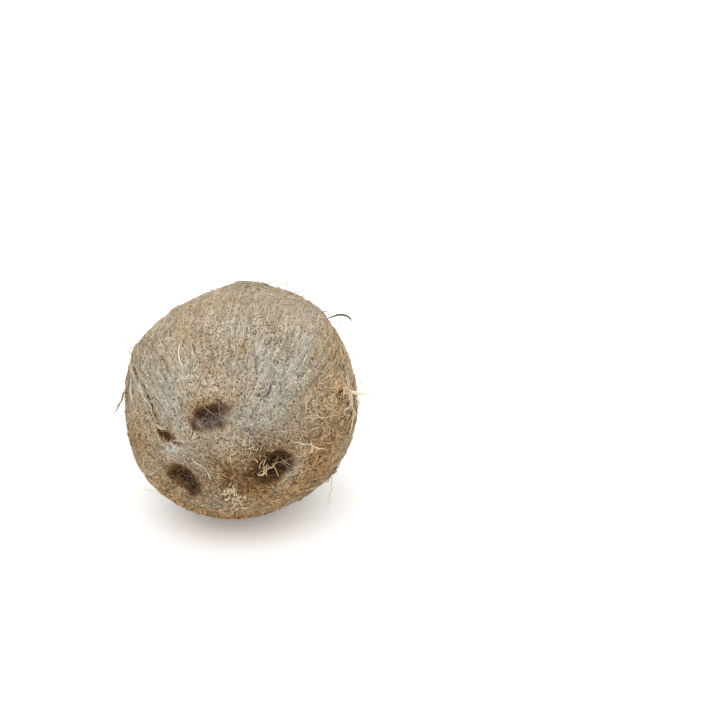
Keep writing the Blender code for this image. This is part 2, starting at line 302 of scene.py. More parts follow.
# The stains and the painted light and shade, as shares from 0 to 1 on the skin's vertices, each from soft
# ovals with a Patch's numbers: polar, turn, along, around, strength, lean, edge. Bloom is the grey, worn
# felt, rust is the fresher brown coir, and combed is felt drawn out in lines towards the tip. The eyes' dark
# is their own dark tissue with painted shade in their pits and hollows and between them, in the torn pit at
# the right and on the left side; the pale share is paler felt, most of it painted light on the nut's upper
# side; the umber share darkens the felt brown low between and round the eyes, and is a painted shadow along
# the right edge. A negative oval clears what lies before it in its list.
STAINS_LIGHT_AND_SHADE = {
    "bloom": (
        (20, 52, 9, 9, 0.75), (33, 47, 10, 8, 0.9), (47, 51, 10, 8, 0.95), (60, 52, 9, 7, 0.85),
        (44, 66, 6, 4, 0.6), (74, 51, 10, 5, 0.6), (90, 53, 12, 4, 0.4), (54.5, 70, 9, 6, 0.75),
        (65, 86, 8, 8, 0.7), (44, 88, 8, 9, 0.35), (42, 141, 9, 7, 0.95), (50, 147, 6, 4, 0.45),
        (35, 149, 6, 5, 0.45), (66, 156, 5, 3, 0.7), (46, 124, 9, 8, 0.65), (62, 143, 12, 5, 0.5),
        (30, 152, 7, 6, 0.6), (27, 184, 6, 6, 0.95), (17, 188, 5, 5, 0.35), (18, 61, 5, 6, 0.75),
        (14, 225, 2.4, 6, 0.7), (71, 40, 6, 4, 0.3), (62, 159.5, 6, 3.6, 0.85), (33, 262, 8, 6, 0.3),
        (24, 24, 7, 7, 0.5), (22.5, 41, 5, 5, 0.55), (28, 56, 5, 6, 0.35), (36.8, 347, 2.6, 4, 0.6),
        (37.2, 332, 2.8, 6, 0.75), (35.4, 317, 2.8, 5, 0.6), (14, 30, 3, 3, 0.5),
        (17.6, 110, 4.2, 8, 0.85, 0, 3), (30.4, 168.2, 5.8, 3.4, -0.9, 0, 3), (29.6, 221, 2.6, 4, 0.4),
    ),
    "rust": (
        (62, 22, 14, 13, 0.5, 0, 3), (30.4, 168.2, 5.6, 3.2, 0.8, 0, 3), (75, 8, 14, 14, 0.6, 0, 3),
        (54, 357, 12, 11, 0.8), (86, 34, 14, 10, 0.6), (54, 335, 17, 18, 0.85), (41, 312, 11, 13, 0.66),
        (36.8, 333, 3, 9, -0.5), (55, 268, 16, 26, 0.95), (52, 228, 14, 18, 0.75), (54, 184, 15, 10, 0.58),
        (76, 170, 14, 10, 0.4), (24, 300, 10, 10, 0.9), (9, 282, 8, 9, 0.75), (15, 262, 8, 8, 0.5),
        (24, 345, 14, 13, 0.8), (33, 325, 6, 7, 0.35), (18, 18, 6, 6, 0.2), (79, 50, 7, 5, 0.22),
        (26, 112, 4, 12, 0.6), (15, 90, 2.6, 7, 0.5), (28, 218, 9, 11, 0.45), (72, 118, 2.6, 4, 0.65),
        (84, 92, 2.4, 10, 0.35), (80, 108, 3, 6, 0.35), (67.5, 113, 2.6, 3.5, 0.6),
        (54.6, 81.2, 4.2, 2.6, 0.8), (64.3, 52.5, 2.6, 1.8, 0.85), (69, 18.5, 6, 6, 0.9),
        (69, 43, 5, 4, 0.35), (41.7, 100, 5, 6, 0.35), (110, 250, 40, 40, 0.5), (120, 20, 26, 24, 0.35),
        (178, 90, 45, 45, 0.4, 0, 4), (125, 150, 24, 30, 0.3),
    ),
    # The eyes' own dark with painted shade in their pits and hollows and between them, in the torn pit at the
    # right, and painted shade on the left side.
    "dusk": (
        (22, 113, 3.2, 6.2, 0.84, -12, 2.6), (22.4, 108, 4.8, 9.6, 0.3, -12, 2.2), (23.4, 90, 3.6, 5, 0.26),
        (17.4, 114, 4.4, 7, 0.52, 0, 2.6), (20.5, 137, 4.4, 1.8, 0.5), (15.5, 93, 1.8, 4.6, 0.4),
        (29.4, 219, 4.6, 7.2, 0.95, 0, 2.6), (28.8, 220, 7, 9.8, 0.3, 0, 2.4),
        (30.6, 236, 4.2, 4.6, 0.42, 0, 2.4), (35, 211, 3, 3.4, 0.35), (15.5, 314, 3.4, 5, 0.3),
        (28.8, 342, 6.8, 6.4, 1, 0, 3.4), (24, 335, 8.4, 8.6, 0.6, 0, 3.2), (24, 344, 12, 12, 0.3),
        (8, 290, 7, 8, 0.2), (30.2, 168, 5.9, 2.7, 0.52, 0, 3.4), (33.6, 166.6, 2.2, 1.6, 0.4),
        (69.5, 17.6, 3, 2.6, 0.5, 0, 3), (64, 186, 20, 7, 0.2),
    ),
    # Paler felt, most of it painted light on the nut's upper side.
    "pale": (
        (90, 88, 17, 50, 0.85, 0, 3), (64, 100, 16, 20, 0.35), (64, 126, 14, 12, 0.32),
        (36, 110, 10, 14, 0.25), (67, 22, 9, 9, 0.5), (88, 56, 14, 14, 0.7), (42, 312, 7, 8, 0.35),
    ),
    # Brown felt low between and round the eyes, and a painted shadow along the right edge.
    "umber": (
        (12, 248, 13, 15, 0.36, 0, 3), (22, 320, 9, 9, 0.75), (18, 347, 8, 8, 0.42), (17, 15, 8, 9, 0.7),
        (16, 298, 6, 6, 0.42), (10.5, 328, 4, 5, -0.5), (37, 332, 3, 9, -0.5), (33, 302, 5, 5, 0.24),
        (48, 338, 7, 7, 0.24), (32.6, 290, 5, 5, 0.14), (32, 324, 5, 6, 0.2), (18, 19, 6, 6, 0.16),
        (80, 8, 10, 7, 0.6), (10, 145, 6, 7, 0.3), (30, 340, 10, 10, 0.45), (33, 250, 12, 14, 0.2),
        (37, 214, 7, 8, 0.25), (43, 195, 12, 8, 0.16), (27, 10, 6, 6, 0.22), (25, 69, 5, 5, 0.12),
        (29, 129, 4, 4, 0.15), (43, 158, 6, 3, 0.16), (56, 355, 11, 9, 0.3), (20, 275, 6, 5, 0.3),
        (28, 278, 7, 5, 0.4), (19, 199, 6, 6, 0.42), (31, 158, 7, 5, 0.14), (41, 168, 6, 5, 0.14),
        (25, 264, 8, 7, 0.36), (14, 268, 6, 6, 0.42), (19, 237, 4, 5, 0.2),
    ),
    "combed": (
        (50, 53, 24, 8, 1, 0, 3), (74, 55, 18, 9, 0.8, 0, 3), (60, 92, 20, 24, 0.6, 0, 3),
        (60, 138, 22, 12, 0.8, 0, 3), (130, 90, 60, 90, 0.9, 0, 4), (130, 270, 60, 90, 0.9, 0, 4),
    ),
}
share_of = {}
for name, ovals in STAINS_LIGHT_AND_SHADE.items():
    patches = [Patch(*oval) for oval in ovals]
    share_of[name] = [covered(patches, direction) for direction in directions]

# How far the skin is cut into crevices, where the felt takes painted shade, and where loose fibre lies, in
# the
# same way: cover for any, strands for long ones, curls for curled ones, combed_front for those drawn out on
# the eye end's half, and seam along the sharp seam's edges.
FULL_CREVICE = 0.6  # millimetres deep
EYE_THINNING, BLOOM_THINNING, CREVICE_THINNING = 0.6, 0.4, 0.8  # the share of the cover that is gone there
FRONT_STRANDS = 0.12  # the share of the long strands that the eye end keeps
STRIP_AWAY, STRIP_WIDTH = 1.6, 0.7  # where the fibre along the sharp seam lies
RIGHT_SIDE = Patch(66, 22, 24, 22, 1.0, edge=3.0)
for name in ("crevice", "cover", "strands", "curls", "combed_front", "seam"):
    share_of[name] = []
for direction, bloom, combed in zip(directions, share_of["bloom"], share_of["combed"]):
    polar, turn = angles_of(direction)
    eye = covered(EYES, direction)
    crevice = min(1.0, crevice_depth(direction) / FULL_CREVICE)
    cover = (1.0 - EYE_THINNING * eye - BLOOM_THINNING * bloom) * (1.0 - CREVICE_THINNING * crevice)
    strands = cover * (FRONT_STRANDS + (1 - FRONT_STRANDS) * smooth_step(60, 105, polar))
    eye_end = 1.0 - smooth_step(88, 104, polar)
    along_seam = smooth_step(16, 24, polar) * (1 - smooth_step(80, 100, polar))
    share_of["crevice"].append(crevice)
    share_of["cover"].append(cover)
    share_of["strands"].append(strands)
    share_of["curls"].append(max(strands, 0.15 + 1.2 * RIGHT_SIDE.share(direction)) * (1.0 - eye))
    share_of["combed_front"].append(combed * eye_end * smooth_step(18, 34, polar))
    off_strip = (off_seam(polar, turn) - STRIP_AWAY) / STRIP_WIDTH
    share_of["seam"].append(along_seam * math.exp(-(off_strip**2)))
share_of["tint"] = [0.5] * len(directions)
for name, shares in share_of.items():
    nut_skin.data.attributes.new(name, "FLOAT", "POINT").data.foreach_set("value", shares)


def colour(hex_code):
    """An sRGB hex colour turned to linear, with full alpha."""
    channels = [int(hex_code[at : at + 2], 16) / 255 for at in (1, 3, 5)]
    return (*[c / 12.92 if c <= 0.04045 else ((c + 0.055) / 1.055) ** 2.4 for c in channels], 1.0)


def add_node(tree, kind, inputs=(), **settings):
    """Adds a node with its settings and inputs.

    The inputs are given in order, or by identifier, as a value, a hex colour, an output, or a node, which
    stands for its first output in use.
    """
    node = tree.nodes.new(kind)
    for name, value in settings.items():
        setattr(node, name, value)
    sockets = {socket.identifier: socket for socket in node.inputs if socket.enabled}
    if not isinstance(inputs, dict):
        inputs = dict(zip(sockets, inputs))
    for identifier, value in inputs.items():
        if isinstance(value, bpy.types.Node):
            value = next(output for output in value.outputs if output.enabled)
        if isinstance(value, bpy.types.NodeSocket):
            tree.links.new(value, sockets[identifier])
        elif isinstance(value, str) and value.startswith("#"):
            sockets[identifier].default_value = colour(value)
        else:
            sockets[identifier].default_value = value
    return node


def coated(tree, base, coats, blend_type="MIX"):
    """Lays coats of colour over a base, each as thick as the product of the shares that follow it.

    A share is a number, a pattern, or a pattern with its values where the coat is gone and where it is full.
    """
    for coat, *shares in coats:
        thickness = None
        for share in shares:
            if isinstance(share, tuple):
                pattern, gone, full = share
                limits = (min(gone, full), max(gone, full), float(gone > full), float(gone < full))
                share = add_node(
                    tree, "ShaderNodeMapRange", (pattern, *limits), interpolation_type="SMOOTHSTEP"
                )
            if thickness is None:
                thickness = share
            else:
                thickness = add_node(tree, "ShaderNodeMath", (thickness, share), operation="MULTIPLY")
        base = add_node(
            tree, "ShaderNodeMix", (thickness, base, coat), data_type="RGBA", blend_type=blend_type,
            clamp_factor=True,
        )
    return base


def bare_material(name):
    """A new material and its tree, with nothing in it yet."""
    material = bpy.data.materials.new(name)
    material.use_nodes = True
    material.node_tree.nodes.clear()
    return material, material.node_tree


STREAKS_ROUND, STREAKS_ALONG = 32.0, 3.5  # how finely the felt is streaked round the nut, and along it
STROKES_ROUND, STROKES_ALONG = 108.0, 80.0  # the same for its single fibre ends

# Matted coir, dry and weathered: rough and without gloss. Its colour changes over the nut with the stains and
# the painted light and shade, and from fibre to fibre.
matted_coir, tree = bare_material("matted_coir_felt")
bloom, rust, umber, dusk, combed, crevice, pale, seam = (
    add_node(tree, "ShaderNodeAttribute", attribute_name=name).outputs["Fac"]
    for name in ("bloom", "rust", "umber", "dusk", "combed", "crevice", "pale", "seam")
)
place = add_node(tree, "ShaderNodeTexCoord").outputs["Object"]
from_middle = add_node(tree, "ShaderNodeVectorMath", (place, nut_middle), operation="SUBTRACT")
parts = add_node(tree, "ShaderNodeSeparateXYZ", (from_middle,)).outputs
flat = add_node(tree, "ShaderNodeCombineXYZ", (parts["X"], 0.0, parts["Z"]))
off_axis = add_node(tree, "ShaderNodeVectorMath", (flat,), operation="LENGTH")
polar_angle = add_node(tree, "ShaderNodeMath", (off_axis, parts["Y"]), operation="ARCTAN2")
round_nut = add_node(tree, "ShaderNodeVectorMath", (flat,), operation="NORMALIZE")

# Noise drawn out along the nut, in long streaks and in short strokes.
drawn_out = []
for rounds, along, detail in ((STREAKS_ROUND, STREAKS_ALONG, 3.0), (STROKES_ROUND, STROKES_ALONG, 1.0)):
    spun = add_node(tree, "ShaderNodeVectorMath", (round_nut, rounds), operation="SCALE")
    spun = add_node(tree, "ShaderNodeSeparateXYZ", (spun,)).outputs
    run = add_node(tree, "ShaderNodeMath", (polar_angle, along), operation="MULTIPLY")
    line_place = add_node(tree, "ShaderNodeCombineXYZ", (spun["X"], run, spun["Z"]))
    drawn_out.append(add_node(
        tree, "ShaderNodeTexNoise", {"Vector": line_place, "Scale": 1.0, "Detail": detail, "Roughness": 0.6}
    ))
streaks, strokes = drawn_out

# Even noise, by the size of its lumps in millimetres, its detail and its roughness.
broad, lumps, specks, gaps, glints = (
    add_node(
        tree, "ShaderNodeTexNoise",
        {"Vector": at, "Scale": 0.5 / (size * MM), "Detail": detail, "Roughness": roughness},
    )
    for at, size, detail, roughness in (
        (place, 9.0, 3.0, 0.5),
        (place, 2.4, 3.0, 0.5),
        (place, 0.5, 2.0, 0.6),
        (place, 0.7, 2.0, 0.5),
        (from_middle, 0.42, 1.0, 0.5),
    )
)
clear_of_bloom = add_node(tree, "ShaderNodeMath", (bloom, -0.45, 1.0), operation="MULTIPLY_ADD")
in_lines = add_node(tree, "ShaderNodeMath", (combed, 0.55, 0.2), operation="MULTIPLY_ADD")
raggedness = add_node(tree, "ShaderNodeMath", (strokes, lumps), operation="ADD")
raggedness = add_node(tree, "ShaderNodeMath", (raggedness, 1.7, -0.7), operation="MULTIPLY_ADD")
ragged_shade_and_dark = add_node(tree, "ShaderNodeMath", (dusk, raggedness), operation="MULTIPLY")
rusty = coated(tree, "#d0a669", [("#9c723e", (lumps, 0.3, 0.7))])
worn = coated(tree, "#b5b6ab", [("#cacbc2", (broad, 0.4, 0.6))])
stroke = coated(tree, "#452f1b", [("#8a6a38", pale)])
speck = coated(tree, "#2c1d10", [("#6e4f25", pale)])
# The eyes' own dark with painted shade in their pits and hollows, dim and dark, and light fibre ends over it.
dim = coated(tree, "#6f4f2e", [("#988c80", bloom)])
dark = coated(tree, "#482f1c", [("#6d6058", bloom)])
fibre_ends = coated(tree, "#a38a66", [("#a69a8c", bloom)])
felt = coated(tree, "#b6a389", [
    ("#ccbca3", (broad, 0.35, 0.65)),
    ("#94805f", (lumps, 0.5, 0.72), 0.35),
    # Painted light on the nut's upper side, with some paler felt.
    ("#dccdb4", pale, 0.75),
    (rusty, rust, (lumps, 0.15, 0.5)),
    (worn, bloom, (lumps, 0.75, 0.35)),
    # Brown felt round the eyes, and a painted shadow along the right edge.
    ("#64441e", umber),
    ("#d9d5c9", seam, 0.55),
    ("#6f5a40", in_lines, (streaks, 0.52, 0.66)),
    ("#ddd5c5", in_lines, (streaks, 0.46, 0.34)),
    ("#e2d8c5", (glints, 0.56, 0.66), 0.7),
    (stroke, (strokes, 0.56, 0.62), clear_of_bloom),
    # Dark specks: painted shade in the holes between the fibres, fainter where the felt is worn.
    (speck, (specks, 0.565, 0.62), clear_of_bloom),
    # Painted shade in the gaps between the fresher brown fibres.
    ("#3a2410", rust, (gaps, 0.56, 0.61), 0.85),
    # Painted shade in the creases, the sharp seam's groove, the scar and the pits.
    ("#46341f", crevice, 0.75),
    # The eyes' own dark, with painted shade in their pits and hollows and on the left side, from dim to
    # darkest.
    (dim, (ragged_shade_and_dark, 0.04, 0.42)),
    (dark, (ragged_shade_and_dark, 0.26, 0.5), 0.9),
    ("#1d1008", (ragged_shade_and_dark, 0.5, 0.82)),
    (fibre_ends, dusk, (glints, 0.5, 0.62), 0.32),
    # Painted shade in the holes between the fibres within the eyes.
    ("#241810", dusk, (specks, 0.54, 0.62)),
])
felt = coated(tree, felt, [("#ffe9b4", rust, rust, 0.55)], blend_type="MULTIPLY")
relief = add_node(tree, "ShaderNodeMath", (lumps, specks), operation="ADD")
bumps = add_node(tree, "ShaderNodeBump", {"Height": relief, "Distance": 0.5 * MM, "Strength": 1.0})
shader = add_node(
    tree, "ShaderNodeBsdfPrincipled",
    {"Base Color": felt, "Roughness": 0.95, "IOR": 1.45, "Specular IOR Level": 0.15, "Normal": bumps},
)
add_node(tree, "ShaderNodeOutputMaterial", (shader,))
nut_skin.data.materials.append(matted_coir)


# ---------------------------------------------------------------------------------------------------------
# The loose fibre: coir strands a few tenths of a millimetre thick that lie on the felt, hold to it by an end
# or stand away from it. One tree of nodes lays them all: it scatters straight fibres over a mesh, lets them
# wander, and sets every point of them back onto the mesh at its own height.

LOOSE_FIBRE_INPUTS = {
    "Density": 1.0,  # fibres for each square millimetre where the cover is full
    "Cover": "cover",  # the attribute that thins them out
    "Length": 5.0,  # millimetres, as the sizes below
    "Least Length": 3.0,
    "Thickness": 0.25,
    "Segments": 3,
    "Straying": 60.0,  # degrees either side of the nut's length
    "Waves": 1.0,
    "Wave Length": 3.0,
    "Lift": 0.3,  # how far its middle may stand clear
    "Rise": 0.3,  # how far one end may stand clear
    "Least Tint": 0.0,  # from 0, dark brown, to 1, pale straw
    "Most Tint": 1.0,
    "Seed": 0,
}
SOCKET_KINDS = {float: "NodeSocketFloat", int: "NodeSocketInt", str: "NodeSocketString"}

loose_fibre = tree = bpy.data.node_groups.new("loose_fibre", "GeometryNodeTree")
tree.interface.new_socket("Mesh", in_out="INPUT", socket_type="NodeSocketGeometry")
for name, value in LOOSE_FIBRE_INPUTS.items():
    socket = tree.interface.new_socket(name, in_out="INPUT", socket_type=SOCKET_KINDS[type(value)])
    socket.default_value = value
tree.interface.new_socket("Material", in_out="INPUT", socket_type="NodeSocketMaterial")
tree.interface.new_socket("Fibres", in_out="OUTPUT", socket_type="NodeSocketGeometry")
given = add_node(tree, "NodeGroupInput").outputs

# What is drawn at random for each fibre, each with a seed of its own.
limits_of = {
    "swing": (-0.5, 0.5),
    "sway": (-0.5, 0.5),
    "tint": (given["Least Tint"], given["Most Tint"]),
    "springing": (0.0, 1.0),
    "length": (0.0, 1.0),
    "bending": (0.0, 1.0),
}
drawn = {}
for number, (name, (low, high)) in enumerate(limits_of.items(), start=1):
    seed = add_node(tree, "ShaderNodeMath", (given["Seed"], number), operation="ADD")
    limits = {"Min_001": low, "Max_001": high, "Seed": seed}
    drawn[name] = add_node(tree, "FunctionNodeRandomValue", limits, data_type="FLOAT")

# The roots are scattered over the mesh, and each has its own heading near the nut's length.
cover = add_node(tree, "GeometryNodeInputNamedAttribute", (given["Cover"],))
density = add_node(tree, "ShaderNodeMath", (given["Density"], 1 / (MM * MM)), operation="MULTIPLY")
density = add_node(tree, "ShaderNodeMath", (density, cover), operation="MULTIPLY")
roots = add_node(
    tree, "GeometryNodeDistributePointsOnFaces",
    {"Mesh": given["Mesh"], "Density": density, "Seed": given["Seed"]}, distribute_method="RANDOM",
)
normal, nut_length = roots.outputs["Normal"], (0.0, 1.0, 0.0)
off_surface = add_node(tree, "ShaderNodeVectorMath", (normal, nut_length), operation="DOT_PRODUCT")
off_surface = add_node(tree, "ShaderNodeVectorMath", (normal, off_surface), operation="SCALE")
along = add_node(tree, "ShaderNodeVectorMath", (nut_length, off_surface), operation="SUBTRACT")
along = add_node(tree, "ShaderNodeVectorMath", (along,), operation="NORMALIZE")
across = add_node(tree, "ShaderNodeVectorMath", (normal, along), operation="CROSS_PRODUCT")
swing = add_node(tree, "ShaderNodeMath", (drawn["swing"], drawn["sway"]), operation="ADD")
straying = add_node(tree, "ShaderNodeMath", (given["Straying"],), operation="RADIANS")
turn = add_node(tree, "ShaderNodeMath", (swing, straying), operation="MULTIPLY")
ways = []
for way, share in ((along, "COSINE"), (across, "SINE")):
    share = add_node(tree, "ShaderNodeMath", (turn,), operation=share)
    ways.append(add_node(tree, "ShaderNodeVectorMath", (way, share), operation="SCALE"))
heading = add_node(tree, "ShaderNodeVectorMath", ways, operation="ADD")
facing = add_node(
    tree, "FunctionNodeAxesToRotation", (normal, heading), primary_axis="Z", secondary_axis="X"
)
points = roots
for name in ("tint", "bending", "springing"):
    points = add_node(
        tree, "GeometryNodeStoreNamedAttribute", {"Geometry": points, "Name": name, "Value": drawn[name]},
        data_type="FLOAT", domain="POINT",
    )

# A straight fibre of its own length at each root.
straight = add_node(tree, "GeometryNodeCurvePrimitiveLine", ((-0.5, 0, 0), (0.5, 0, 0)))
point_count = add_node(tree, "ShaderNodeMath", (given["Segments"], 1.0), operation="ADD")
straight = add_node(
    tree, "GeometryNodeResampleCurve", {"Curve": straight, "Count": point_count}, mode="COUNT"
)
length = add_node(tree, "ShaderNodeMath", (drawn["length"], 1.6), operation="POWER")
spread = add_node(tree, "ShaderNodeMath", (given["Length"], given["Least Length"]), operation="SUBTRACT")
length = add_node(
    tree, "ShaderNodeMath", (length, spread, given["Least Length"]), operation="MULTIPLY_ADD"
)
length = add_node(tree, "ShaderNodeMath", (length, MM), operation="MULTIPLY")
size = add_node(tree, "ShaderNodeCombineXYZ", (length, 1.0, 1.0))
fibres = add_node(
    tree, "GeometryNodeInstanceOnPoints",
    {"Points": points, "Instance": straight, "Rotation": facing, "Scale": size},
)
fibres = add_node(tree, "GeometryNodeRealizeInstances", (fibres,))

# It wanders aside in waves.
bending = add_node(tree, "GeometryNodeInputNamedAttribute", ("bending",))
position = add_node(tree, "GeometryNodeInputPosition")
own_waves = add_node(tree, "ShaderNodeMath", (bending, 700.0), operation="MULTIPLY")
per_wave = add_node(tree, "ShaderNodeMath", (1 / MM, given["Wave Length"]), operation="DIVIDE")
waves = add_node(
    tree, "ShaderNodeTexNoise",
    {"Vector": position, "W": own_waves, "Scale": per_wave, "Detail": 1.0}, noise_dimensions="4D",
).outputs["Color"]
waves = add_node(tree, "ShaderNodeVectorMath", (waves, (0.5, 0.5, 0.5)), operation="SUBTRACT")
wave_size = add_node(tree, "ShaderNodeMath", (given["Waves"], 2 * MM), operation="MULTIPLY")
waves = add_node(tree, "ShaderNodeVectorMath", (waves, wave_size), operation="SCALE")
wandered = add_node(tree, "ShaderNodeVectorMath", (position, waves), operation="ADD")
fibres = add_node(tree, "GeometryNodeSetPosition", {"Geometry": fibres, "Position": wandered})

# Every point is set back onto the mesh. The middle arches clear of it, and one end springs up.
springing = add_node(tree, "GeometryNodeInputNamedAttribute", ("springing",))
share = add_node(tree, "GeometryNodeSplineParameter")
arch = add_node(tree, "ShaderNodeMath", (share, math.pi), operation="MULTIPLY")
arch = add_node(tree, "ShaderNodeMath", (arch,), operation="SINE")
arch = add_node(tree, "ShaderNodeMath", (arch, bending), operation="MULTIPLY")
arch = add_node(tree, "ShaderNodeMath", (arch, given["Lift"]), operation="MULTIPLY")
rise = add_node(tree, "ShaderNodeMath", (springing, 4.0), operation="POWER")
far_end = add_node(tree, "ShaderNodeMath", (share, 2.0), operation="POWER")
rise = add_node(tree, "ShaderNodeMath", (rise, far_end), operation="MULTIPLY")
rise = add_node(tree, "ShaderNodeMath", (rise, given["Rise"]), operation="MULTIPLY")
resting = add_node(tree, "ShaderNodeMath", (given["Thickness"], 0.35), operation="MULTIPLY")
height = add_node(tree, "ShaderNodeMath", (arch, rise), operation="ADD")
height = add_node(tree, "ShaderNodeMath", (height, resting), operation="ADD")
height = add_node(tree, "ShaderNodeMath", (height, MM), operation="MULTIPLY")
below = add_node(tree, "GeometryNodeProximity", (given["Mesh"],), target_element="FACES")
surface_normal = add_node(tree, "GeometryNodeInputNormal")
outwards = add_node(
    tree, "GeometryNodeSampleNearestSurface", (given["Mesh"], surface_normal), data_type="FLOAT_VECTOR"
)
outwards = add_node(tree, "ShaderNodeVectorMath", (outwards, height), operation="SCALE")
set_on = add_node(tree, "ShaderNodeVectorMath", (below, outwards), operation="ADD")
parts = add_node(tree, "ShaderNodeSeparateXYZ", (set_on,)).outputs
floor_room = add_node(tree, "ShaderNodeMath", (given["Thickness"], 0.6 * MM), operation="MULTIPLY")
over_floor = add_node(tree, "ShaderNodeMath", (parts["Z"], floor_room), operation="MAXIMUM")
set_on = add_node(tree, "ShaderNodeCombineXYZ", (parts["X"], parts["Y"], over_floor))
fibres = add_node(tree, "GeometryNodeSetPosition", {"Geometry": fibres, "Position": set_on})

# A three-sided tube that tapers to both ends, more or less thick from fibre to fibre.
own_size = add_node(tree, "ShaderNodeMath", (springing, 0.5, 0.7), operation="MULTIPLY_ADD")
radius = share
for operation, *values in (
    ("MULTIPLY_ADD", 2.0, -1.0),
    ("ABSOLUTE",),
    ("POWER", 3.0),
    ("MULTIPLY_ADD", -0.6, 1.0),
    ("MULTIPLY", own_size),
    ("MULTIPLY", given["Thickness"]),
    ("MULTIPLY", 0.5 * MM),
):
    radius = add_node(tree, "ShaderNodeMath", (radius, *values), operation=operation)
fibres = add_node(tree, "GeometryNodeSetCurveRadius", {"Curve": fibres, "Radius": radius})
section = add_node(tree, "GeometryNodeCurvePrimitiveCircle", (3, 1.0))
radius = add_node(tree, "GeometryNodeInputRadius")
fibres = add_node(
    tree, "GeometryNodeCurveToMesh",
    {"Curve": fibres, "Profile Curve": section, "Fill Caps": True, "Scale": radius},
)
fibres = add_node(tree, "GeometryNodeRealizeInstances", (fibres,))
fibres = add_node(tree, "GeometryNodeSetMaterial", {"Geometry": fibres, "Material": given["Material"]})
add_node(tree, "NodeGroupOutput", (fibres,))

# Loose coir: single dry fibres, from dark brown to pale straw, dull with a slight sheen along them.
# Their colour follows the skin's stains and its painted light and shade.
loose_coir, tree = bare_material("loose_coir_fibre")
bloom, rust, umber, dusk, pale, tint = (
    add_node(tree, "ShaderNodeAttribute", attribute_name=name).outputs["Fac"]
    for name in ("bloom", "rust", "umber", "dusk", "pale", "tint")
)
place = add_node(tree, "ShaderNodeTexCoord").outputs["Object"]
blotches = add_node(tree, "ShaderNodeTexNoise", {"Vector": place, "Scale": 0.5 / (1.6 * MM), "Detail": 2.0})
rusty = coated(tree, "#643e20", [("#eac48e", (tint, 0.2, 0.8))])
worn = coated(tree, "#828072", [("#cfd0c6", (tint, 0.05, 0.8))])
# Fibre under the umber share: darker brown, and a painted shadow along the right edge.
brown_and_shadowed_fibre = coated(tree, "#38230d", [("#a8824c", (tint, 0.2, 0.9))])
# Fibre in the eyes: their own dark, with painted shade in their pits and hollows.
dark_and_shaded_fibre = coated(tree, "#1c1109", [("#765c40", (tint, 0.3, 1.0))])
straw = coated(tree, "#46341f", [
    ("#ab9878", (tint, 0.06, 0.26)),
    ("#c8ba9e", (tint, 0.3, 0.75)),
    ("#f1e9d8", (tint, 0.8, 1.0)),
    ("#7d6547", (blotches, 0.5, 0.75), 0.3),
    # Painted light on the nut's upper side, with some paler fibre.
    ("#dfd2bb", pale, 0.55),
    (rusty, rust, 0.8),
    (worn, bloom, 0.75),
    (brown_and_shadowed_fibre, umber),
    (dark_and_shaded_fibre, (dusk, 0.1, 0.6)),
])
straw = coated(tree, straw, [("#ffe9b4", rust, rust, 0.55)], blend_type="MULTIPLY")
shader = add_node(
    tree, "ShaderNodeBsdfPrincipled",
    {"Base Color": straw, "Roughness": 0.75, "IOR": 1.45, "Specular IOR Level": 0.3},
)
add_node(tree, "ShaderNodeOutputMaterial", (shader,))


def lay_fibres(name, over, **inputs):
    """Lays one kind of loose fibre over a piece, as a plain mesh piece of its own."""
    piece = bpy.data.objects.new(name, over.data.copy())
    bpy.context.scene.collection.objects.link(piece)
    modifier = piece.modifiers.new("fibres", "NODES")
    modifier.node_group = loose_fibre
    for socket_name, value in {"Material": loose_coir, **inputs}.items():
        socket = loose_fibre.interface.items_tree[socket_name.replace("_", " ")]
        modifier[socket.identifier] = value
    graph = bpy.context.evaluated_depsgraph_get()
    mesh = bpy.data.meshes.new_from_object(piece.evaluated_get(graph))
    piece.modifiers.remove(modifier)
    piece.data = mesh
    mesh.name = name
    mesh.shade_smooth()
    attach(piece, "root")


lay_fibres(
    "stubble", nut_skin, Density=0.5, Length=2.4, Least_Length=0.8, Thickness=0.3, Segments=1,
    Straying=360.0, Waves=0.0, Lift=0.1, Rise=0.5, Seed=10,
)
lay_fibres(
    "short_felt", nut_skin, Density=0.33, Length=4.4, Least_Length=1.6, Segments=2, Straying=150.0,
    Waves=0.8, Wave_Length=2.4, Rise=0.5, Seed=11,
)
lay_fibres(
    "long_felt", nut_skin, Cover="strands", Density=0.24, Length=8.5, Least_Length=3.5, Thickness=0.27,
    Segments=4, Straying=75.0, Waves=1.3, Wave_Length=3.6, Lift=0.4, Rise=0.7, Seed=12,
)
lay_fibres(
    "curled_fibres", nut_skin, Cover="curls", Density=0.085, Length=13.0, Thickness=0.28,
    Segments=6, Straying=150.0, Waves=3.2, Wave_Length=4.2, Lift=0.7, Rise=1.6, Least_Tint=0.3, Seed=13,
)
lay_fibres(
    "long_strands", nut_skin, Cover="strands", Density=0.03, Length=38.0, Least_Length=9.0,
    Thickness=0.4, Segments=10, Straying=14.0, Waves=1.8, Wave_Length=9.0, Rise=0.5, Seed=14,
)
lay_fibres(
    "combed_strands", nut_skin, Cover="combed_front", Density=0.07, Length=16.0, Least_Length=4.0,
    Thickness=0.36, Segments=7, Straying=16.0, Waves=0.7, Wave_Length=7.0, Rise=0.4, Least_Tint=0.4,
    Seed=18,
)
lay_fibres(
    "seam_strands", nut_skin, Cover="seam", Density=0.5, Length=14.0, Thickness=0.42, Segments=8,
    Straying=14.0, Waves=0.8, Wave_Length=6.0, Lift=0.4, Rise=0.8, Least_Tint=0.5, Seed=17,
)
lay_fibres(
    "stray_hairs", nut_skin, Density=0.0022, Length=11.0, Least_Length=4.0, Thickness=0.18, Segments=9,
    Straying=180.0, Waves=4.0, Wave_Length=9.0, Lift=1.0, Rise=8.0, Least_Tint=0.2, Seed=16,
)


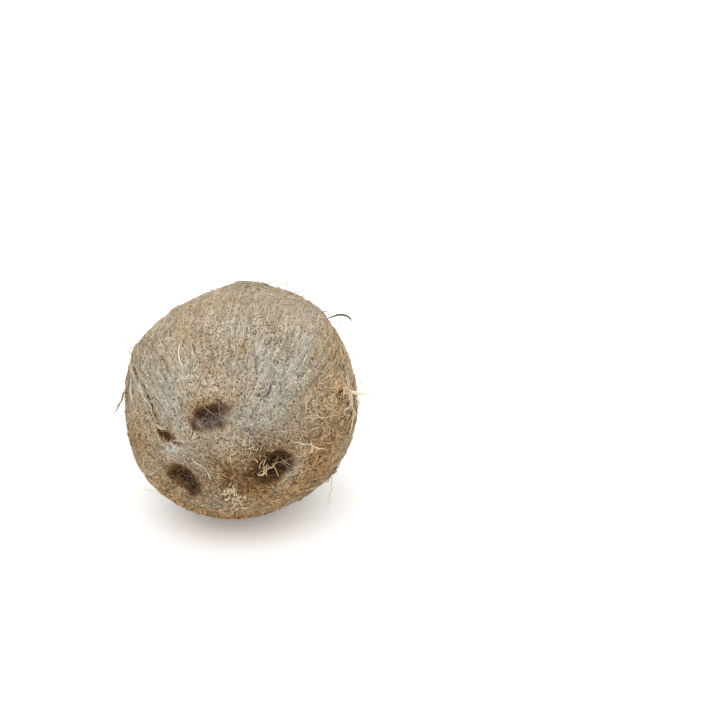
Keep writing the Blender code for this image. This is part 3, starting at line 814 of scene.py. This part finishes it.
# ---------------------------------------------------------------------------------------------------------
# The strands that stand out one by one: straw-coloured ends torn from the seams and the eyes, the small
# tangles between the eyes, and the few hairs that stand clear of the nut. Each is a tapered five-sided tube.

finished_skin = BVHTree.FromObject(nut_skin, bpy.context.evaluated_depsgraph_get())
STRAND_SIDES = 5
STRAND_STEP = 0.6  # millimetres between the rings of a strand
STRAND_TAPER = 0.7  # the share of its thickness that a strand loses by its ends
KINK_LENGTH = 4.0  # millimetres along a strand
FAR_OUTSIDE, FLOOR_ROOM = 300.0, 0.4


def on_skin(direction, height):
    """The place height millimetres above the skin in a direction from the nut's middle, over the floor."""
    far = nut_middle + direction * (FAR_OUTSIDE * MM)
    hit = finished_skin.ray_cast(far, -direction)[0]
    place = hit + direction * height * MM
    place.z = max(place.z, FLOOR_ROOM * MM)
    return place


def join_rings(shape, rings):
    """Joins rings of vertices into a tube, closed at both ends."""
    for near, far in zip(rings, rings[1:]):
        for side, corner in enumerate(near):
            after = (side + 1) % len(near)
            shape.faces.new((corner, near[after], far[after], far[side]))
    shape.faces.new(reversed(rings[0]))
    shape.faces.new(rings[-1])


def add_strand(shape, places, thickness, tint, rust):
    """Adds a tapered tube through the places."""
    tint_layer, rust_layer = shape.verts.layers.float["tint"], shape.verts.layers.float["rust"]
    across = Vector((0.31, 0.20, 0.93))
    rings = []
    for number, place in enumerate(places):
        ahead = places[min(number + 1, len(places) - 1)] - places[max(number - 1, 0)]
        ahead.normalize()
        across = (across - ahead * across.dot(ahead)).normalized()
        upwards = ahead.cross(across)
        from_half = abs(2 * number / (len(places) - 1) - 1)
        radius = thickness / 2 * MM * (1 - STRAND_TAPER * from_half**3)
        rings.append([])
        for side in range(STRAND_SIDES):
            angle = math.tau * side / STRAND_SIDES
            vertex = shape.verts.new(
                place + (across * math.cos(angle) + upwards * math.sin(angle)) * radius
            )
            vertex[tint_layer], vertex[rust_layer] = tint, rust
            rings[-1].append(vertex)
    join_rings(shape, rings)


# A strand runs from one place on the skin (polar, turn) over another. Its far end stands rise millimetres
# clear, late or early as leaving is high or low, and it arches, bows aside and kinks by so many millimetres.
Strand = namedtuple(
    "Strand", "start over rise leaving arch bow kinks thickness tint rust", defaults=(0.15,)
)
STRANDS = (
    # the straw-coloured arc and dash above the upper eye
    ((66, 113.5), (59, 118.6), 0.3, 2, 0.3, -0.6, 0.3, 0.4, 0.8),
    ((60.5, 118.2), (46.8, 119.6), 0.3, 2, 0.5, -1.1, 0.3, 0.72, 0.97),
    ((54, 111.6), (51, 111.6), 0.2, 2, 0.2, 0.0, 0.2, 0.55, 0.95),
    # pale strands on the broad seam and right of it
    ((66, 47.5), (59.5, 46.6), 0.2, 2, 0.3, 0.2, 0.2, 0.6, 1.0),
    ((60, 46.6), (53, 46), 0.2, 2, 0.2, 0.0, 0.2, 0.45, 0.8),
    ((48.5, 30), (45, 22.5), 0.2, 2, 0.4, 0.2, 0.2, 0.75, 0.85),
    ((42.5, 55.4), (40.2, 54.7), 0.0, 2, 0.2, 0.0, 0.2, 0.5, 0.0),
    ((40.4, 55.2), (38.4, 53.9), 0.0, 2, 0.2, 0.0, 0.2, 0.75, 0.0),
    ((38.9, 54.6), (36.9, 54.4), 0.0, 2, 0.2, 0.0, 0.2, 0.7, 0.0),
    ((37.2, 54.9), (35.0, 53.6), 0.0, 2, 0.2, 0.0, 0.2, 0.6, 0.0),
    ((35.2, 54.6), (33.2, 57.0), 0.0, 2, 0.2, 0.0, 0.2, 0.45, 0.0),
    ((43.5, 8.6), (49.7, 8.7), 0.4, 2, 0.5, 1.0, 0.4, 0.6, 0.85),
    ((33, 7.5), (44.5, 358.5), 0.2, 2, 0.5, 0.3, 0.8, 0.42, 0.95),
    ((43, 359), (52.5, 353.5), 0.6, 2, 0.7, -0.7, 0.6, 0.45, 0.95),
    ((43.5, 3), (45, 356), 0.4, 2, 0.5, 0.0, 0.4, 0.32, 0.95),
    # the sharp seam's pale edge, and the torn strip beside it
    ((68, 150.6), (54.5, 152.6), 0.2, 2, 0.1, 0.0, 0.1, 0.42, 1.0),
    ((58, 151.8), (46, 156.0), 0.2, 2, 0.1, 0.0, 0.1, 0.5, 1.0),
    ((61, 150.8), (50, 153.4), 0.2, 2, 0.1, 0.0, 0.1, 0.4, 1.0),
    ((56, 151.2), (47, 154.6), 0.2, 2, 0.1, 0.0, 0.1, 0.36, 1.0),
    ((47.5, 155.4), (35.5, 169), 0.2, 2, 0.2, 0.4, 0.3, 0.42, 0.92),
    ((57, 149.6), (51.5, 150.4), 0.2, 2, 0.4, 0.0, 0.2, 0.8, 0.02),
    ((50, 150.6), (46, 152.2), 0.2, 2, 0.4, 0.0, 0.2, 1.0, 0.02),
    ((45, 152.8), (41, 156.2), 0.2, 2, 0.4, 0.0, 0.2, 0.9, 0.04),
    ((40.5, 156.8), (37, 160.4), 0.2, 2, 0.4, 0.0, 0.2, 0.8, 0.02),
    ((71, 158), (59.5, 164.5), 0.3, 2, 0.4, 0.0, 0.3, 1.0, 0.88),
    ((69, 161), (61, 166), 0.3, 2, 0.4, 0.3, 0.4, 0.5, 0.8),
    # round the scar and along the ridge between two eyes
    ((34, 165.5), (31, 159), 0.4, 2, 0.5, 0.0, 0.2, 0.5, 0.7),
    ((36, 169), (33.5, 178), 0.2, 2, 0.3, 0.3, 0.4, 0.5, 0.85),
    ((17, 189), (13.5, 212), 0.2, 2, 0.3, 0.0, 0.3, 0.5, 0.9),
    ((13.5, 207), (12.8, 228), 0.2, 2, 0.3, 0.2, 0.4, 0.45, 0.9),
    ((12.8, 224), (16.5, 246), 0.2, 2, 0.4, 0.0, 0.4, 0.6, 0.95),
    # the straws torn up in the right eye
    ((20.9, 321), (21.2, 338), 0.6, 1.4, 1.0, -0.5, 0.8, 0.6, 0.74, 0.5),
    ((21.0, 335), (20.6, 350), 1.0, 1.4, 0.6, 0.4, 0.8, 0.5, 0.67, 0.5),
    ((21.8, 323), (25.4, 336), 0.8, 1.6, 1.2, 0.6, 0.7, 0.58, 0.82, 0.5),
    ((25.3, 324), (22.4, 340), 1.2, 1.4, 0.8, 0.4, 0.8, 0.52, 0.67, 0.5),
    ((23.4, 331), (28.6, 341), 1.0, 1.4, 1.0, -0.4, 0.5, 0.52, 0.8, 0.5),
    ((27.6, 340), (33.0, 346), 1.0, 1.2, 0.6, 0.0, 0.5, 0.34, 0.55, 0.5),
    ((26.4, 337), (31.0, 328.5), 0.8, 1.4, 0.6, 0.3, 0.4, 0.42, 0.67, 0.5),
    ((30.0, 346.5), (34.7, 341), 0.8, 1.4, 0.5, 0.0, 0.4, 0.32, 0.5, 0.5),
    ((19.4, 330), (19.6, 348), 0.5, 1.6, 0.7, 0.6, 0.7, 0.45, 0.72, 0.5),
    ((23.0, 326.5), (19.2, 325), 0.6, 1.4, 0.6, 0.0, 0.5, 0.45, 0.72, 0.5),
    # the straw tuft at the right
    ((75, 18), (95, 3.5), 11.5, 2.6, 0.5, 0.0, 0.5, 1.05, 1.0),
    ((78, 15), (96, 4), 7.2, 2.4, 0.5, -0.6, 0.4, 0.7, 0.95),
    ((79.5, 14), (74.5, 352), 0.8, 2, 1.2, 0.8, 1.0, 0.75, 0.9),
    ((79, 11), (73, 358), 0.4, 2, 0.8, 0.4, 0.8, 0.45, 0.8),
    ((81, 5.5), (77, 359), 0.3, 2, 0.5, 0.2, 0.5, 0.6, 0.9),
    ((88, 8), (94, 355), 6.5, 1.4, 0.4, 0.0, 0.8, 0.36, 1.0),
    ((90, 6), (92, 354), 7.0, 1.3, 0.4, 0.6, 0.8, 0.3, 0.95),
    ((86, 27), (78.5, 15), 0.3, 2, 0.6, 0.5, 0.8, 0.5, 0.9),
    ((82, 23), (76, 14), 0.3, 2, 0.6, -0.4, 0.6, 0.6, 0.92),
    ((76, 23), (74, 12), 0.3, 2, 0.7, 0.4, 0.7, 0.5, 0.88),
    ((84, 12), (69, 8), 0.4, 2, 0.9, 0.4, 0.9, 0.5, 0.95),
    # hairs clear of the nut: right, upper right, top, left, lower right
    ((107, 26), (101.4, 18), 6.1, 1.6, 0.3, 0.0, 0.6, 0.4, 0.85),
    ((106, 24), (95, 4), 3.3, 1.0, 1.6, 0.0, 0.6, 0.34, 0.95),
    ((104, 21), (92, 2), 2.0, 1.0, 1.8, 0.5, 0.8, 0.3, 0.9),
    ((107.5, 44), (112, 34), 9.5, 1.0, 3.6, 0.0, 0.3, 1.0, 0.03),
    ((108, 43), (110, 31), 6.5, 1.0, 0.4, 0.0, 1.4, 0.3, 0.3),
    ((108, 79), (113, 74), 4.6, 1.2, 0.8, 0.0, 0.4, 0.3, 0.14),
    ((115, 73.5), (116, 68), 4.2, 1.2, 0.8, 0.3, 0.4, 0.28, 0.18),
    ((116, 67), (117, 70), 4.0, 1.0, 0.5, 0.0, 0.4, 0.26, 0.18),
    ((116, 65), (116, 58), 4.8, 1.2, 0.8, 0.0, 0.4, 0.28, 0.18),
    ((101, 50), (109, 45), 2.6, 1.2, 0.4, 0.0, 0.3, 0.5, 0.2),
    ((94, 146), (88, 154), 5.6, 1.0, 3.2, 0.0, 0.4, 0.36, 0.7),
    ((88, 145), (91, 160), 3.2, 1.4, 0.6, 0.0, 0.4, 0.36, 0.7),
    ((90, 147), (92, 158), 4.4, 1.2, 0.5, 0.4, 0.5, 0.28, 0.6),
    ((73, 160), (75.5, 180), 5.6, 2.4, 0.4, 0.0, 0.6, 0.9, 0.2),
    ((74, 162), (77, 178), 4.0, 2.2, 0.4, 0.4, 0.6, 0.5, 0.4),
    ((75, 158), (74, 175), 3.2, 2.2, 0.4, -0.3, 0.6, 0.4, 0.5),
    ((78, 328), (69, 315.4), 11.5, 1.2, 0.3, 0.0, 0.8, 0.32, 0.75),
    ((71, 330), (79, 323), 2.4, 1.4, 0.3, 0.0, 0.4, 0.35, 0.5),
)

# A tangle is a knot of short curled strands: its place, radius in millimetres, how many, their least and
# greatest length, thickness, how high they stand, their least and greatest tint, and how tightly they curl.
Tangle = namedtuple("Tangle", "place radius count lengths thickness height tints curl", defaults=(0.35,))
TANGLES = (
    ((23, 333), 3.0, 4, (2, 4), 0.5, 1.2, (0.3, 0.7), 0.2),
    ((20.5, 329), 2.4, 3, (2, 4), 0.45, 1.0, (0.35, 0.7), 0.2),
    ((28.5, 342), 3.4, 3, (3, 5), 0.36, 0.8, (0.3, 0.6), 0.1),
    ((34, 344), 3.0, 5, (2, 5), 0.4, 0.8, (0.15, 0.5), 0.15),
    ((22.2, 275), 3.2, 30, (1.6, 4), 0.5, 1.5, (0.72, 1.0), 0.24),
    ((28.0, 279), 3.4, 28, (1.6, 4), 0.48, 1.4, (0.72, 1.0), 0.24),
    ((12, 279), 11.0, 84, (1.2, 3.2), 0.36, 0.7, (0.0, 0.75)),
    ((17, 8), 7.0, 40, (1.5, 4), 0.42, 0.8, (0.0, 1.0)),
    ((35, 276), 3.2, 9, (2, 5), 0.5, 1.0, (0.7, 0.95)),
    ((42, 268), 3.0, 7, (2, 5), 0.5, 0.8, (0.7, 0.95)),
    ((14.5, 28), 4.0, 16, (1.5, 4), 0.42, 0.9, (0.6, 1.0)),
    ((3, 20), 2.2, 8, (1.5, 3.5), 0.42, 0.8, (0.6, 1.0)),
    ((10, 250), 3.0, 9, (1.5, 4), 0.45, 0.7, (0.5, 0.9)),
    ((24, 12), 2.0, 5, (1.5, 3.5), 0.45, 0.7, (0.4, 0.95)),
    ((76, 17), 3.6, 18, (3, 9), 0.42, 1.6, (0.7, 1.0), 0.2),
    ((64, 19), 15.0, 180, (1.2, 3.6), 0.36, 0.8, (0.6, 1.0), 0.3),
    ((52, 350), 13.0, 70, (1.2, 3.4), 0.3, 0.7, (0.5, 1.0), 0.3),
    ((44, 359), 1.6, 4, (2, 4), 0.4, 0.8, (0.9, 1.0)),
    ((74, 329), 2.8, 26, (2, 5), 0.5, 1.5, (0.1, 0.5)),
    ((34.5, 164), 1.6, 5, (1.5, 3), 0.42, 0.7, (0.5, 0.8)),
    ((46, 156.5), 1.4, 6, (1.5, 3), 0.42, 0.7, (0.4, 0.8)),
    ((42.5, 159), 1.4, 6, (1.5, 3), 0.42, 0.7, (0.4, 0.75)),
    ((38.8, 162), 1.4, 6, (1.5, 3), 0.42, 0.7, (0.4, 0.75)),
    ((27, 55), 9.0, 16, (0.8, 2.2), 0.34, 0.3, (0.0, 0.06)),
    ((16, 20), 9.0, 14, (0.8, 2.2), 0.36, 0.3, (0.0, 0.06)),
    ((41, 47), 7.0, 6, (0.8, 2.4), 0.36, 0.3, (0.0, 0.06)),
    ((12, 300), 10.0, 12, (0.8, 2.2), 0.36, 0.3, (0.0, 0.06)),
    ((66, 117), 2.4, 9, (1.5, 4), 0.45, 0.7, (0.3, 0.85)),
)

noise.seed_set(5)  # noise_vector draws its own offsets, which would otherwise follow the clock
single_strands = bmesh.new()
single_strands.verts.layers.float.new("tint")
single_strands.verts.layers.float.new("rust")
for number, strand in enumerate(Strand(*row) for row in STRANDS):
    first, last = direction_of(*strand.start), direction_of(*strand.over)
    sideways = first.cross(last).normalized()
    steps = max(5, round(((last - first).length * GIRTH_RADIUS + strand.rise + strand.arch) / STRAND_STEP))
    places = []
    for step in range(steps + 1):
        share = step / steps
        swell = math.sin(math.pi * share)
        kink = noise.noise_vector(Vector((share * steps * STRAND_STEP / KINK_LENGTH, 3.7 * number, 0.5)))
        aside = strand.bow * swell + strand.kinks * kink.x
        direction = (first.lerp(last, share) + sideways * aside / GIRTH_RADIUS).normalized()
        height = strand.rise * share**strand.leaving + strand.arch * swell
        clear = smooth_step(0.0, 2.0, height)
        places.append(on_skin(direction, max(height + strand.kinks * kink.y * clear, 0.0)))
    add_strand(single_strands, places, strand.thickness, strand.tint, strand.rust)

draw = random.Random(5)
for tangle in (Tangle(*row) for row in TANGLES):
    centre = direction_of(*tangle.place)
    ring = Vector((0, -1, 0)).cross(centre).normalized()
    down = centre.cross(ring)
    for number in range(tangle.count):
        off, turned = tangle.radius * math.sqrt(draw.random()), draw.uniform(0, math.tau)
        place = Vector((off * math.cos(turned), off * math.sin(turned)))
        heading, curl = draw.uniform(0, math.tau), draw.uniform(-tangle.curl, tangle.curl)
        length = draw.uniform(*tangle.lengths)
        height, lean = draw.uniform(0.4, 1.0) * tangle.height, draw.uniform(0.0, 0.6) * tangle.height
        steps = max(4, round(length / STRAND_STEP))
        places = []
        for step in range(steps + 1):
            share = step / steps
            direction = (centre + (ring * place.x + down * place.y) / GIRTH_RADIUS).normalized()
            places.append(on_skin(direction, height * math.sin(math.pi * share) + lean * share))
            heading += curl + draw.uniform(-1.2, 1.2) * tangle.curl
            place += Vector((math.cos(heading), math.sin(heading))) * STRAND_STEP
        thickness, tint = tangle.thickness * draw.uniform(0.6, 1.1), draw.uniform(*tangle.tints)
        add_strand(single_strands, places, thickness, tint, rust=draw.uniform(0.1, 0.6))
bmesh.ops.recalc_face_normals(single_strands, faces=single_strands.faces)
torn_strands = add_piece("torn_strands", single_strands)
torn_strands.data.materials.append(loose_coir)


# ---------------------------------------------------------------------------------------------------------
# The stub at the tip: what is left of the stalk's coir where the husk was torn off, four frayed strands of
# twisted fibre that part from each other and end at different lengths, with loose fibre lying along them.

STUB_LENGTHS = (13.0, 7.5, 10.5, 5.5)
STUB_ROOT_DEPTH, STUB_ROOT_SPREAD, STUB_PARTING = 6.0, 1.7, 0.28
STUB_ROOT_RADIUS, STUB_END_RADIUS = 2.75, 0.55
STUB_SIDES, STUB_RINGS = 20, 30
FLUTES, FLUTE_DEPTH, FLUTE_TWIST = 5, 0.16, 2.5  # the depth is a share of the radius, the twist in radians
STUB_ROUGHNESS, ROUGH_LENGTH = 0.22, 2.2


def stub_heading(number):
    turn = math.tau * (number + 0.3) / len(STUB_LENGTHS)
    return Vector((math.cos(turn), 0, math.sin(turn)))


nut_end = max(vertex.co.y for vertex in nut_surface.verts)
end_ring = [vertex.co for vertex in nut_surface.verts if vertex.co.y > nut_end - 0.2 * MM]
tip = sum(end_ring, Vector()) / len(end_ring)
tip -= stub_heading(0) * (STUB_ROOT_SPREAD + STUB_PARTING * STUB_LENGTHS[0]) * MM
tip.y -= STUB_LENGTHS[0] * MM
stub_shape = bmesh.new()
for number, length in enumerate(STUB_LENGTHS):
    heading = stub_heading(number)
    rings = []
    for step in range(STUB_RINGS + 1):
        share = step / STUB_RINGS
        along = share * (STUB_ROOT_DEPTH + length)
        clear = max(0.0, along - STUB_ROOT_DEPTH)
        aside = STUB_ROOT_SPREAD + STUB_PARTING * clear * clear / length
        middle = tip + (heading * aside + Vector((0, along - STUB_ROOT_DEPTH, 0))) * MM
        radius = STUB_ROOT_RADIUS + (STUB_END_RADIUS - STUB_ROOT_RADIUS) * share**1.3
        rings.append([])
        for side in range(STUB_SIDES):
            angle = math.tau * side / STUB_SIDES
            fluted = FLUTE_DEPTH * math.cos(FLUTES * angle + 1.3 * number + FLUTE_TWIST * share)
            rough_along = along / ROUGH_LENGTH + 9 * number
            rough_place = Vector((3 * math.cos(angle), 3 * math.sin(angle), rough_along))
            rough = STUB_ROUGHNESS * noise.noise(rough_place)
            out = (radius * (1 + fluted) + rough) * MM
            rings[-1].append(
                stub_shape.verts.new(middle + Vector((out * math.cos(angle), 0, out * math.sin(angle))))
            )
    join_rings(stub_shape, rings)
bmesh.ops.recalc_face_normals(stub_shape, faces=stub_shape.faces)
torn_stub = add_piece("torn_stub", stub_shape)
torn_stub.data.materials.append(matted_coir)
for name, share in (("cover", 1.0), ("rust", 0.55), ("combed", 1.0)):
    torn_stub.data.attributes.new(name, "FLOAT", "POINT").data.foreach_set(
        "value", [share] * len(torn_stub.data.vertices)
    )
lay_fibres(
    "stub_fibres", torn_stub, Density=0.9, Length=9.0, Least_Length=3.0, Thickness=0.34, Segments=7,
    Straying=24.0, Waves=0.9, Wave_Length=4.0, Lift=0.7, Rise=1.6, Seed=21,
)


# ---------------------------------------------------------------------------------------------------------
# The studio: a pale floor, one broad soft lamp above and a pale surround that fills the shadows.

floor_shape = bmesh.new()
bmesh.ops.create_grid(floor_shape, x_segments=1, y_segments=1, size=6.0)
floor = add_object("floor", floor_shape)
pale_paper = bpy.data.materials.new("pale_paper")
pale_paper.use_nodes = True
paper = pale_paper.node_tree.nodes["Principled BSDF"]
paper.inputs["Base Color"].default_value = colour("#fcfcfb")
paper.inputs["Roughness"].default_value = 0.9
paper.inputs["Emission Color"].default_value = colour("#ffffff")
paper.inputs["Emission Strength"].default_value = 0.17
floor.data.materials.append(pale_paper)
floor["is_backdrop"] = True


def soft_lamp(name, place, size, watts):
    """A square lamp that points at the nut."""
    lamp = bpy.data.objects.new(name, bpy.data.lights.new(name, "AREA"))
    bpy.context.scene.collection.objects.link(lamp)
    lamp.data.size = size
    lamp.data.energy = watts
    lamp.location = place
    lamp.rotation_euler = (nut_middle - Vector(place)).to_track_quat("-Z", "Y").to_euler()


soft_lamp("sky_panel", (-0.05, -0.25, 1.25), size=1.8, watts=11.0)
soft_lamp("front_fill", (0.5, -1.3, 0.6), size=1.2, watts=0.3)
surround = bpy.data.worlds.new("pale_surround")
surround.use_nodes = True
surround.node_tree.nodes["Background"].inputs["Color"].default_value = colour("#ffffff")
surround.node_tree.nodes["Background"].inputs["Strength"].default_value = 0.9
bpy.context.scene.world = surround
bpy.context.scene.view_settings.view_transform = "Standard"


# ---------------------------------------------------------------------------------------------------------
# The camera looks down at the eye end, a little from the right, and past the nut to the right.

CAMERA_TURN, CAMERA_RISE = 9.0, 25.0  # degrees
CAMERA_DISTANCE = 0.8267  # metres, as the rest
LOOK_RIGHT, LOOK_UP = 0.0580, 0.0179
shown_middle = Vector((0.0, -0.01085, 0.0559))

turned, risen = math.radians(CAMERA_TURN), math.radians(CAMERA_RISE)
towards_camera = Vector((
    math.sin(turned) * math.cos(risen), -math.cos(turned) * math.cos(risen), math.sin(risen),
))
camera_right = (-towards_camera).cross(Vector((0, 0, 1))).normalized()
camera_up = camera_right.cross(-towards_camera)
camera = bpy.data.objects.new("camera", bpy.data.cameras.new("camera"))
bpy.context.scene.collection.objects.link(camera)
camera.data.lens = 85
camera.data.sensor_width = 36
camera.location = shown_middle + towards_camera * CAMERA_DISTANCE
looked_at = shown_middle + camera_right * LOOK_RIGHT + camera_up * LOOK_UP
camera.rotation_euler = (looked_at - camera.location).to_track_quat("-Z", "Y").to_euler()
bpy.context.scene.camera = camera

low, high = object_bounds()
